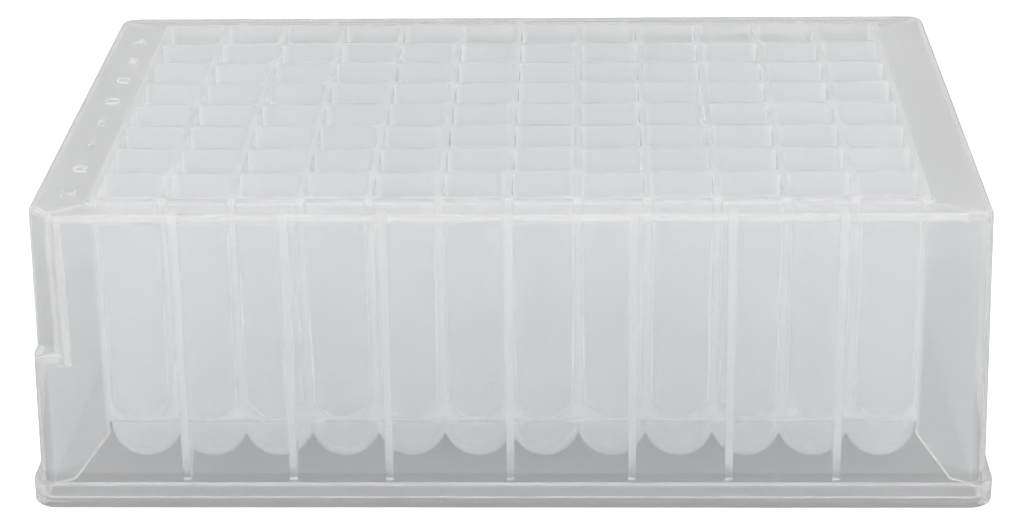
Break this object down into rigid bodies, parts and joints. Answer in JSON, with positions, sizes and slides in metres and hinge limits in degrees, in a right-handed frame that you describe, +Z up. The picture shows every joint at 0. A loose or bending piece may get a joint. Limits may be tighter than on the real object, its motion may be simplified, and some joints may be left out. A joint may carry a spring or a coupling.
{
  "type": "deep-well plate",
  "caption": "Tall plate of milky plastic: a grid of square wells with round bottoms hangs inside a drafted skirt on a stepped foot, with a notch down one corner.",
  "frame": {"origin": "under the centre of the plate, on the plane that the foot stands on", "axes": "+X along the rows from column 1 to column 12, +Y from row H to row A, +Z up out of the wells"},
  "size_m": [0.1278, 0.0854, 0.0418],
  "materials": {
    "natural_polypropylene": "satin, milky and translucent natural polypropylene"
  },
  "bodies": {
    "root": {"well_plate": "natural_polypropylene"}
  },
  "joints": []
}
